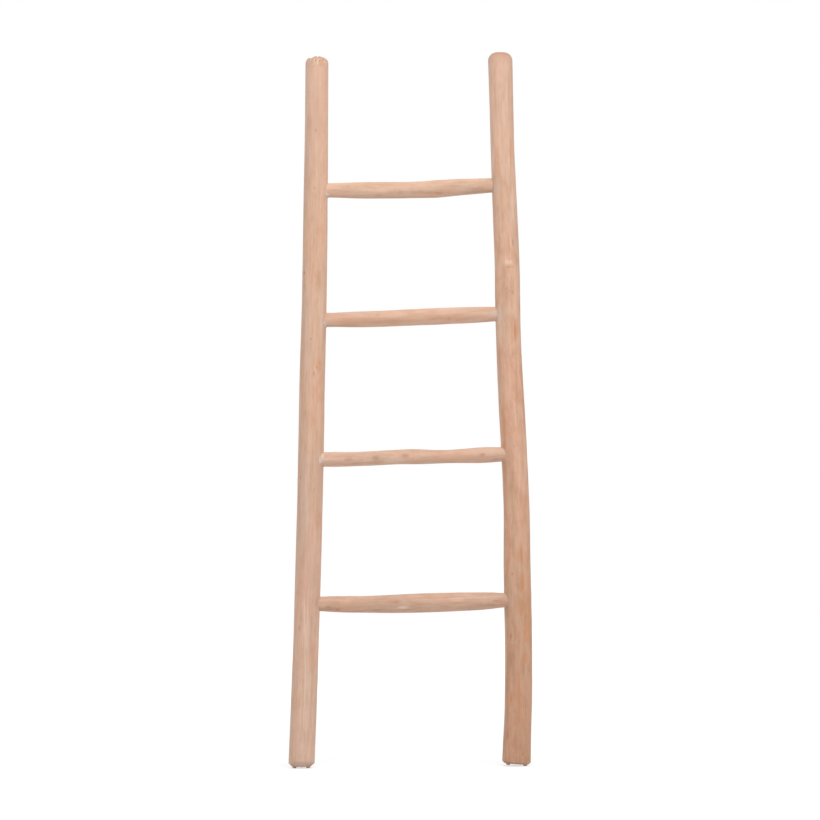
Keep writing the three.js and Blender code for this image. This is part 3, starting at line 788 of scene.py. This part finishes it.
def torn_off(line, top):
    """What the saw and the chip took off the left rail's top, with a ragged underside."""
    x, y = line[-1, 0], line[-1, 1]
    count = TEAR_STEPS
    steps = np.linspace(-TEAR_HALF, TEAR_HALF, count)
    across, gone = zip(*CHIPPED)
    lower, upper = [], []
    for v in steps:
        for u in steps:
            coarse = noise.noise(Vector((u, v, 0)) / COARSE_TEAR)
            fine = noise.noise(Vector((u, v, 1)) / FINE_TEAR)
            ragged = coarse + 0.5 * fine
            swayed = u / MM + 1.5 * noise.noise(Vector((0, v, 2)) / TEAR_SWAY)
            depth = np.interp(swayed, across, gone) - 0.3 + 0.7 * ragged + 0.04 * abs(v / MM)
            lower.append((x + u, y + v, top - depth * MM))
            upper.append((x + u, y + v, top + ABOVE_THE_TEAR))
    faces = []
    size = count * count
    for row in range(count - 1):
        for i in range(row * count, row * count + count - 1):
            faces.append((i, i + count, i + count + 1, i + 1))
            faces.append((size + i, size + i + 1, size + i + count + 1, size + i + count))
    rim = [*range(count), *range(2 * count - 1, size, count), *range(size - 2, size - count - 1, -1),
           *range(size - 2 * count, 0, -count)]
    faces += [(i, j, size + j, size + i) for i, j in zip(rim, rim[1:] + rim[:1])]
    return link("cutters_torn_off", mesh_of("cutters_torn_off", lower + upper, faces))


def on_skin(line, height, degrees):
    """A place on a rail's skin."""
    x, y, radius = [np.interp(height * MM, line[:, 2], line[:, i]) for i in (0, 1, 3)]
    angle = math.radians(degrees)
    return x + radius * math.sin(angle), y - radius * math.cos(angle), height * MM


rail_lines = {side: rail_line(side) for side in SIDES}
rail_patches = {
    side: [(on_skin(rail_lines[side], height, degrees), (across, across, along), code, strength)
           for height, degrees, across, along, code, strength in patches]
    for side, patches in (("left", LEFT_PATCHES), ("right", RIGHT_PATCHES))
}
rail_woods = {
    "left": bare_wood(
        "rail_left_bare_branch_wood", cloudy=0.3, stain="#cc9f7e", stained=0.2, torn_from=1.474,
        tones=[(0, "#e0bca7"), (400, "#ddb7a1"), (900, "#dfb79d"), (1250, "#dfb8a0"), (1500, "#dfb9a3")],
        patches=rail_patches["left"], seed=1),
    "right": bare_wood(
        "rail_right_bare_branch_wood", cloudy=0.5, stain="#c0906a", stained=0.35, torn_from=2,
        tones=[(0, "#c79c82"), (300, "#d0a68b"), (700, "#deb49b"), (1250, "#e2bba3"), (1500, "#dfbba6")],
        patches=rail_patches["right"], seed=2),
}
line, top = rail_lines["left"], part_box("rail_left")[1].z
worn = {
    "left": {
        "Cracks": cracks(line, top), "Torn Off": torn_off(line, top), "Torn Depth": 0.7 * MM,
        "Foot Radius": line[0, 3], "Cut Depth": LEFT_FOOT_CUT_DEPTH, "Cut Rise": LEFT_FOOT_CUT_RISE,
    },
    "right": {"Torn Depth": 0.15 * MM, "Foot Radius": UNCUT, "Slant": FOOT_SLANT},
}
rails = {}
for side, bevel, crown, knots, seed in (
    ("left", LEFT_FOOT_BEVEL, LEFT_CROWN, LEFT_RAIL_KNOTS, 11),
    ("right", RIGHT_FOOT_BEVEL, RIGHT_CROWN, RIGHT_RAIL_KNOTS, 12),
):
    line = rail_lines[side]
    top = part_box(f"rail_{side}")[1].z
    holes = [moved(nail_hole, aimed(nail_place(rung, side), (0, 1, 0))) for rung in RUNGS]
    edge = max(place.x for place in glide_places(side)) + GLIDE_FLAT_RADIUS
    pith = pith_of(line, FOOT_LEVEL, top, bevel, crown, RAIL_STEP)
    rails[side] = made(f"rail_{side}_branch", branch, pith, {
        "Knots": knots_on(line, knots, seed, 9), "Mortises": drill_rail(side),
        "Nail Holes": joined("cutters_nails", holes), "Sides": RAIL_SIDES, "Flats": 11,
        "Flatness": 0.35, "Ripple": 0.035, "Ripple Length": RAIL_RIPPLE, "Torn From": top - TORN_END,
        "Foot Level": FOOT_LEVEL, "Cut Height": LEFT_FOOT_CUT, "Slant Edge": edge,
        "Slant From": FOOT_LEVEL + bevel, "Slant Length": SLANT_FADES, "Lowest": cad_box[0],
        "Highest": cad_box[1], "Seed": float(seed), "Wood": rail_woods[side], **worn[side],
    })
    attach(rails[side], "root")
    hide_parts(f"rail_{side}")

# Rungs
# Four thinner branches, whittled round with a knife, thickest in the middle and brought down to a
# round tenon at each end. They are warmer and more knotty than the rails.
RUNG_SIDES = 72
RUNG_STEP = 1.8 * MM
TENON_CHAMFER = 2.5 * MM
RUNG_SECTION_STEP = 4 * MM
RUNG_LINE_STEP = 2 * MM
RUNG_WINDOW = 14 * MM
RUNG_RIPPLE = 18 * MM
LYING = Matrix.Rotation(math.pi / 2, 4, "Y")  # a pole along +Z, with its own +X turned down
RUNG_KNOTS = {  # along, degrees up from the front, size, rise, how dark
    "rung_1": [(-125, 78, 1.6, 1.2, 0.6), (178, 3, 1.4, -0.3, 0.85), (183, 4, 1.4, -0.3, 0.7),
               (-170, -20, 5, 0.2, 0.3), (-150, -40, 5, 0.2, 0.3), (-27, 12, 5, -0.2, 0.2)],
    "rung_2": [(-125, 5, 7, 0.2, 0.3), (-67, 3, 6.5, 0.3, 0.4), (-5, 8, 6.5, 0.3, 0.35),
               (157, 4, 5.5, 0.3, 0.35)],
    "rung_3": [(-60, 30, 4, 0.2, 0.2), (90, -20, 4, 0.2, 0.2)],
    "rung_4": [(-10, -18, 6, 0.3, 0.2), (72, -35, 6, 0.2, 0.25), (-120, 30, 4, 0.2, 0.2)],
}
RUNG_PATCHES = {  # along, degrees up from the front, reach along and across, colour, strength
    "rung_1": [(-12, -20, 13, 4, PALE, 0.6), (-28, 12, 14, 3, BROWN, 0.35), (-160, -35, 22, 6, BROWN, 0.35),
               (100, 20, 20, 6, PALE, 0.35), (-110, -8, 70, 6, BROWN, 0.25)],
    "rung_2": [(-184, 10, 10, 15, GLUE_GREY, 0.7), (-182, 40, 7, 8, PALE, 0.7),
               (-30, -30, 30, 6, PALE, 0.4), (186, -40, 7, 3, SMOKE, 0.35),
               (110, -8, 80, 7, "#c4977a", 0.45)],
    "rung_3": [(-170, -35, 8, 8, GLUE_GREY, 0.8), (186, -5, 10, 12, GLUE_GREY, 0.5),
               (-70, -12, 110, 8, "#c4977a", 0.6), (100, -12, 90, 8, "#c4977a", 0.5)],
    "rung_4": [(-168, -38, 9, 8, GLUE_GREY, 0.8), (40, -25, 40, 5, BROWN, 0.25)],
}
RUNG_TONES = {  # at its left and right end, its brown streaks, and how many of those it has
    "rung_1": ("#d7b39d", "#d9b59f", "#bf8f6c", 0.35),
    "rung_2": ("#e2bca6", "#dfbaa4", "#c3936f", 0.25),
    "rung_3": ("#e2bca5", "#e2bda7", "#c99a76", 0.25),
    "rung_4": ("#e7c1a9", "#dbb8a1", "#cd9f7b", 0.25),
}
rungs = {}
for number, name in enumerate(RUNGS):
    low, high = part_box(name)
    stations = np.arange(low.x + RUNG_SECTION_STEP, high.x - RUNG_SECTION_STEP, RUNG_SECTION_STEP)
    edges = edges_of(name)
    upended = [(-z, y, x, radius) for x, y, z, radius in [section(edges, 0, x) for x in stations]]
    line = eased(np.arange(stations[0], stations[-1], RUNG_LINE_STEP), upended, RUNG_WINDOW)
    line = np.vstack([line[0], line, line[-1]])
    line[0, 2], line[-1, 2] = low.x, high.x
    left_tone, right_tone, stain, stained = RUNG_TONES[name]
    patches = []
    for along, angle, reach, across, code, strength in RUNG_PATCHES[name]:
        x, y, z = on_skin(line, along, -angle)
        patches.append(((z, y, -x), (reach, across, across), code, strength))
    wood = bare_wood(f"{name}_whittled_branch_wood", tones=[(-190, left_tone), (190, right_tone)],
                     cloudy=0.4, stain=stain, stained=stained, patches=patches, torn_from=None,
                     seed=5 + number)
    holes = [moved(nail_hole, LYING.inverted() @ aimed(nail_place(name, side), (0, 1, 0)))
             for side in SIDES]
    knots = [(along, -angle, *rest) for along, angle, *rest in RUNG_KNOTS[name]]
    pith = pith_of(line, low.x, high.x, TENON_CHAMFER, TENON_CHAMFER, RUNG_STEP)
    rungs[name] = made(f"{name}_branch", branch, pith, {
        "Knots": knots_on(line, knots, 30 + number, 4),
        "Nail Holes": joined("cutters_" + name, holes), "Sides": RUNG_SIDES, "Flats": 9,
        "Flatness": 0.45, "Ripple": 0.045, "Ripple Length": RUNG_RIPPLE, "Torn From": 10.0,
        "Foot Radius": UNCUT, "Cut Height": 1.0, "Slant Length": 1.0, "Lowest": (-9, -9, -9),
        "Highest": (9, 9, 9), "Seed": 40.0 + number, "Wood": wood,
    }, LYING)
    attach(rungs[name], "root")
    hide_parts(name)

# Filler
# Glue and filler that was pressed into the gap round six of the joints and wiped off with a thumb.
# It dried whitish where it was left thick, and took the wood's dust and colour where it is thin.
BEAD_STEPS = 96
BEAD_FACE = 6
THIN_WIDTH = 1.3 * MM
THICK_ARC = 0.75  # radians to each side of its thickest place
ON_THE_RAIL = 0.08  # its spread on the rail, as a share of that on the rung
BESIDE_TENON = 0.1 * MM
FROM_OUTSIDE = 60  # mm away, where a look for the rung's skin starts
FROM_ALONG = 120  # and one for the rail's
FILLED = (  # joint, degrees round the rung where it is thickest (0 down, 270 front), how wide there
    ("rung_1", "right", 250, 0.6), ("rung_2", "left", 280, 4.0), ("rung_2", "right", 325, 1.0),
    ("rung_3", "left", 312, 4.5), ("rung_3", "right", 290, 2.5), ("rung_4", "left", 312, 5.5),
)

filler = new_material("dried_glue_and_filler")
crumbs = noise_at(object_place(), 420.0, 3.0)
mottled = maths("MULTIPLY_ADD", crumbs, 1.2, attribute("heap"))
colour = laid_over(paint("#c9a38b"), ranged(mottled, 0.75, 1.35), "#d9c4b8")
finish_material(colour, crumbs, 0.6, 0.3 * MM, {"Roughness": 0.9, "Specular IOR Level": 0.3})


def surface_of(piece):
    return BVHTree.FromObject(piece, bpy.context.evaluated_depsgraph_get())


def bead(rung, side, thick_at, wide, seed):
    """A ring of filler in the corner between a rung and its rail, laid on both their skins."""
    left, right = tenon_ends(rung)
    tip, other = (left, right) if side == "left" else (right, left)
    away = (other - tip).normalized()
    back = Vector((0, 1, 0))
    back = (back - away * back.dot(away)).normalized()
    down = away.cross(back) if side == "left" else back.cross(away)
    if down.z > 0:
        down = -down
    on_rung, on_rail = surface_of(rungs[rung]), surface_of(rails[side])
    random = np.random.default_rng(seed)
    waves = [(n, random.uniform(0, 2 * math.pi), random.uniform(0.1, 0.35)) for n in (2, 3, 5, 8, 13)]

    def rung_skin(out, along):
        return on_rung.ray_cast(tip + away * along + out * FROM_OUTSIDE * MM, -out)[0]

    def rail_skin(out, radius):
        return on_rail.ray_cast(tip + away * FROM_ALONG * MM + out * radius, -away)[0]

    radius = TENON_RADIUS + FIT + BESIDE_TENON
    vertices, faces, heaps = [], [], []
    for step in range(BEAD_STEPS):
        angle = 2 * math.pi * step / BEAD_STEPS
        out = down * math.cos(angle) + back * math.sin(angle)
        turned_by = (angle - math.radians(thick_at) + math.pi) % (2 * math.pi) - math.pi
        near = math.exp(-(turned_by / THICK_ARC) ** 2)
        lumps = 1 + sum(size * math.sin(n * angle + phase) for n, phase, size in waves)
        width = THIN_WIDTH * max(0.35, lumps * 0.7) + near * max(0.3, lumps) * wide * MM * 0.8
        corner = rail_skin(out, radius)
        along = (corner - tip).dot(away)
        under = rung_skin(out, along)
        first = rung_skin(out, along + width)
        spread = width * ON_THE_RAIL + 0.5 * MM
        last = rail_skin(out, radius + spread)
        while last is None or (corner - last).dot(away) > 0.9 * spread + 1.5 * MM:
            spread *= 0.8
            last = rail_skin(out, radius + spread)
        hollow = corner + (out + away) * 0.12 * width
        for i in range(BEAD_FACE + 1):
            share = i / BEAD_FACE
            vertices.append(first * (1 - share) ** 2 + hollow * 2 * share * (1 - share) + last * share ** 2)
            heaps.append(near * (0.6 + 0.4 * lumps) * min(1, wide / 6))
        vertices += [corner, under]
        heaps += [near, near]
    points = BEAD_FACE + 3
    for step in range(BEAD_STEPS):
        here, there = step * points, (step + 1) % BEAD_STEPS * points
        for i in range(points):
            j = (i + 1) % points
            faces.append((here + i, here + j, there + j, there + i))
    mesh = mesh_of(f"filler_{rung}_{side}", vertices, faces)
    marked(mesh, "heap", heaps)
    volume = sum(vertices[f[0]].dot(vertices[f[1]].cross(vertices[f[2]])) +
                 vertices[f[0]].dot(vertices[f[2]].cross(vertices[f[3]])) for f in faces)
    if volume < 0:
        mesh.flip_normals()
    mesh.shade_smooth()
    mesh.materials.append(filler)
    return link(mesh.name, mesh)


for seed, (rung, side, thick_at, wide) in enumerate(FILLED):
    piece = bead(rung, side, thick_at, wide, seed)
    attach(piece, "root")
    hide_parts(f"putty_{rung}_{side}")

# Nails
# Eight plain steel wire nails, one through each tenon, driven in from the back and punched just
# below the wood. Drawn steel, dull, with the grid of the heading tool on the head.
set_out, given = new_tree("set_out", (("Places", "Geometry"), ("Piece", "Object"), ("Finish", "Material")))
leaning = put("FunctionNodeEulerToRotation", [named("lean", "FLOAT_VECTOR")])
copies = put("GeometryNodeInstanceOnPoints", {
    "Points": given["Places"], "Instance": geometry_of(given["Piece"]), "Rotation": leaning,
})
finish_tree(copies, given["Finish"])


def set_out_pieces(name, shape, places, leans, finish):
    """One mesh of a shape at each of the places, leaning by Euler angles."""
    points = mesh_of("places", places, [])
    points.attributes.new("lean", "FLOAT_VECTOR", "POINT").data.foreach_set("vector", np.ravel(leans))
    shape.shade_smooth()
    shape.set_sharp_from_angle(angle=0.6)
    model = link("model_of_" + name, shape)
    whole = made(name, set_out, points, {"Piece": model, "Finish": finish})
    bpy.data.objects.remove(model)
    return whole


HEAD_GRID = 0.9 * MM
NAIL_SIDES = 28
steel = new_material("drawn_steel_wire")
place = object_place()
pitch = scaled(place, 2 * math.pi / HEAD_GRID)
across, up = [maths("SINE", axis_of(pitch, axis)) for axis in "XZ"]
tarnished = laid_over(paint("#a5a29c"), noise_at(place, 900.0, 3.0), "#77726b")
finish_material(tarnished, maths("MULTIPLY", across, up), 0.7, 0.15 * MM, {
    "Metallic": 1.0, "Roughness": 0.45})

nail = turned_mesh("nail", [
    (0, -NAIL_LENGTH), (NAIL_RADIUS * 0.25, -NAIL_LENGTH + 0.6 * MM),
    (NAIL_RADIUS, -NAIL_LENGTH + NAIL_POINT),
    (NAIL_RADIUS, -NAIL_HEAD_THICKNESS), (NAIL_HEAD_RADIUS - 0.2 * MM, -NAIL_HEAD_THICKNESS * 0.55),
    (NAIL_HEAD_RADIUS, -NAIL_HEAD_THICKNESS * 0.4), (NAIL_HEAD_RADIUS, -0.15 * MM),
    (NAIL_HEAD_RADIUS - 0.15 * MM, -0.04 * MM), (NAIL_HEAD_RADIUS * 0.5, 0), (0, 0),
], NAIL_SIDES)
nail.transform(Matrix.Rotation(-math.pi / 2, 4, "X"))
joints = [(rung, side) for rung in RUNGS for side in SIDES]
nails = set_out_pieces("nails", nail, [nail_place(*joint) for joint in joints], [(0, 0, 0)] * 8, steel)
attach(nails, "root")
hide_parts(*[f"nail_{rung}_{side}" for rung, side in joints])

# Glides
# Six small brown plastic domes nailed under the feet, three to each, so that the wood stands clear
# of a damp floor. Moulded, satin, scuffed on the flat they stand on.
GLIDE_RADIUS = 4.5 * MM
GLIDE_RIM = 0.8 * MM
GLIDE_EDGE = 0.25 * MM
GLIDE_SIDES = 36

plastic = new_material("moulded_brown_plastic")
place = object_place()
mould = noise_at(place, 700.0, 4.0)
scuffed = ranged(axis_of(place, "Z"), 0.0, 0.9 * MM, 0.5, 0.0)
# The base colour is painted lighter than the plastic's own brown: painted light that offsets the shade
# under the feet.
colour = laid_over(paint("#cba48c"), maths("MULTIPLY", scuffed, mould), "#d6bfaf")
satin = ranged(mould, 0.0, 1.0, 0.42, 0.6)
finish_material(colour, mould, 0.25, 0.1 * MM, {"Roughness": satin})
dome = [
    (GLIDE_FLAT_RADIUS + (GLIDE_RADIUS - GLIDE_FLAT_RADIUS) * math.sin(a),
     (GLIDE_HEIGHT - GLIDE_RIM) * (1 - math.cos(a)))
    for a in np.linspace(0, math.pi / 2, 9)
]
glide = turned_mesh("glide", [
    (0, 0), *dome, (GLIDE_RADIUS, GLIDE_HEIGHT - GLIDE_EDGE), (GLIDE_RADIUS - GLIDE_EDGE, GLIDE_HEIGHT),
    (GLIDE_PIN_RADIUS, GLIDE_HEIGHT), (GLIDE_PIN_RADIUS, pin_end - GLIDE_PIN_POINT), (0, pin_end),
], GLIDE_SIDES)
spots = [(place, side) for side in SIDES for place in glide_places(side)]
glides = set_out_pieces("foot_glides", glide, [place for place, _ in spots],
                        [(0, glide_slant[side], 0) for _, side in spots], plastic)
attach(glides, "root")
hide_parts(*[f"foot_glide_{side}_{i}" for side in SIDES for i in (1, 2, 3)])

# Floor, light and camera
# A white studio: a pale floor, a white background, a broad soft light from above and in front, a
# weaker one from behind, and a long lens level with the ladder's middle.
CAMERA_DISTANCE = 8.0
CAMERA_RIGHT = 0.0058
FRAME_WIDTH = 1.7245
CAMERA_ROLL = math.radians(0.58)
LADDER_MIDDLE = 0.75
FLOOR_HALF = 9
WHITE = (1, 1, 1, 1)


def begin(owner):
    """Begins the tree of a material or world with nothing in it."""
    global tree
    owner.use_nodes = True
    tree = owner.node_tree
    tree.nodes.clear()


def seen(**settings):
    """At least 1 where a ray comes from the camera, or by way of something glossy or clear."""
    rays = put("ShaderNodeLightPath").outputs
    first = maths("ADD", rays["Is Camera Ray"], rays["Is Glossy Ray"])
    return maths("ADD", first, rays["Is Transmission Ray"], **settings)


corners = [(-FLOOR_HALF, -FLOOR_HALF, 0), (FLOOR_HALF, -FLOOR_HALF, 0), (FLOOR_HALF, FLOOR_HALF, 0),
           (-FLOOR_HALF, FLOOR_HALF, 0)]
floor = link("floor", mesh_of("floor", corners, [(0, 1, 2, 3)]))
floor_paint = bpy.data.materials.new("floor_white_paint")
begin(floor_paint)
shown = seen()
whiter = ranged(length_of(object_place()), 0.5, 8.0, 0.66, 0.76)
glow = put("ShaderNodeEmission", {"Color": WHITE, "Strength": maths("MULTIPLY", shown, whiter)})
dimmer = laid_over(paint("#e0e0e0"), shown, "#a4a4a4")
matte = put("ShaderNodeBsdfDiffuse", {"Color": dimmer})
put("ShaderNodeOutputMaterial", [put("ShaderNodeAddShader", [matte, glow])])
floor.data.materials.append(floor_paint)

world = bpy.data.worlds.new("studio")
bpy.context.scene.world = world
begin(world)
strength = ranged(seen(use_clamp=True), 0.0, 1.0, 0.66, 1.0)
put("ShaderNodeOutputWorld", [put("ShaderNodeBackground", {"Color": WHITE, "Strength": strength})])

for name, place, size, watts in (
    ("softbox_above", (0.6, -2.7, 5.2), (5.0, 3.0), 160),
    ("softbox_front", (1.8, -4.6, 1.0), (3.0, 2.4), 16),
    ("softbox_behind", (0.0, 4.8, 2.2), (3.0, 2.4), 40),
):
    lamp = bpy.data.lights.new(name, "AREA")
    lamp.shape = "RECTANGLE"
    lamp.size, lamp.size_y = size
    lamp.energy = watts
    light = link(name, lamp)
    light.location = place
    way = Vector((0, 0, LADDER_MIDDLE)) - light.location
    light.rotation_euler = way.to_track_quat("-Z", "Y").to_euler()
    light.visible_camera = False
    light.visible_glossy = False

camera_data = bpy.data.cameras.new("camera")
camera_data.lens = camera_data.sensor_width * CAMERA_DISTANCE / FRAME_WIDTH
camera_data.clip_end = 100
camera = link("camera", camera_data)
camera.location = (CAMERA_RIGHT, -CAMERA_DISTANCE, LADDER_MIDDLE)
camera.rotation_euler = (math.pi / 2, CAMERA_ROLL, 0)
bpy.context.scene.camera = camera
bpy.context.scene.view_settings.view_transform = "Standard"

for helper in [o for o in bpy.data.objects if o.name.startswith(("cutters", "knots"))]:
    bpy.data.objects.remove(helper)
